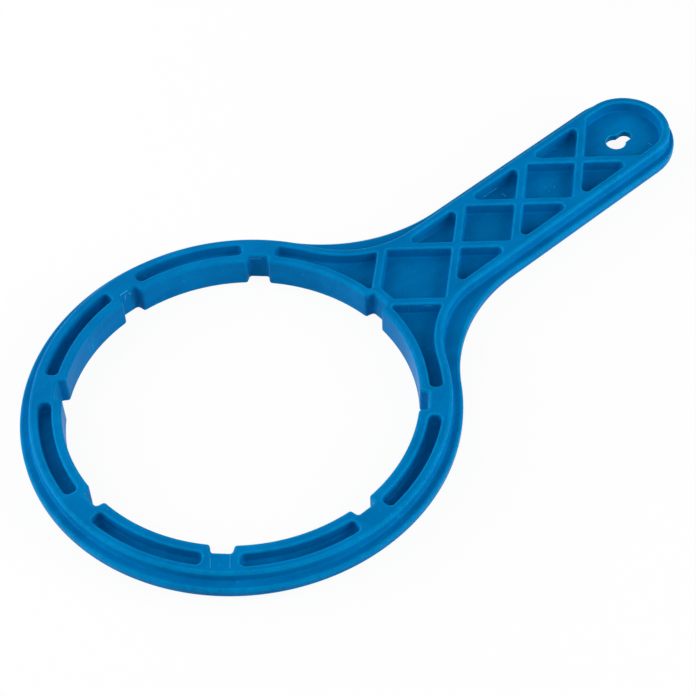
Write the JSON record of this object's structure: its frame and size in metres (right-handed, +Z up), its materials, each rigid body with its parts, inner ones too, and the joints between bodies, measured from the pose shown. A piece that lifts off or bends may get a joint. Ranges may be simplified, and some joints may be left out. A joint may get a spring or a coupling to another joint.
{
  "type": "filter housing wrench",
  "caption": "Flat plastic ring spanner with a notched bore, pocketed ring and ribbed handle with a keyhole, for turning the bowl of a water filter housing.",
  "frame": {"origin": "centre of the ring's bore, on the plane of the underside", "axes": "+Z up along the bore, +X along the handle away from the ring"},
  "size_m": [0.2802, 0.1492, 0.012],
  "materials": {
    "blue_plastic": "satin moulded polypropylene"
  },
  "bodies": {
    "root": {"wrench": "blue_plastic"}
  },
  "joints": []
}
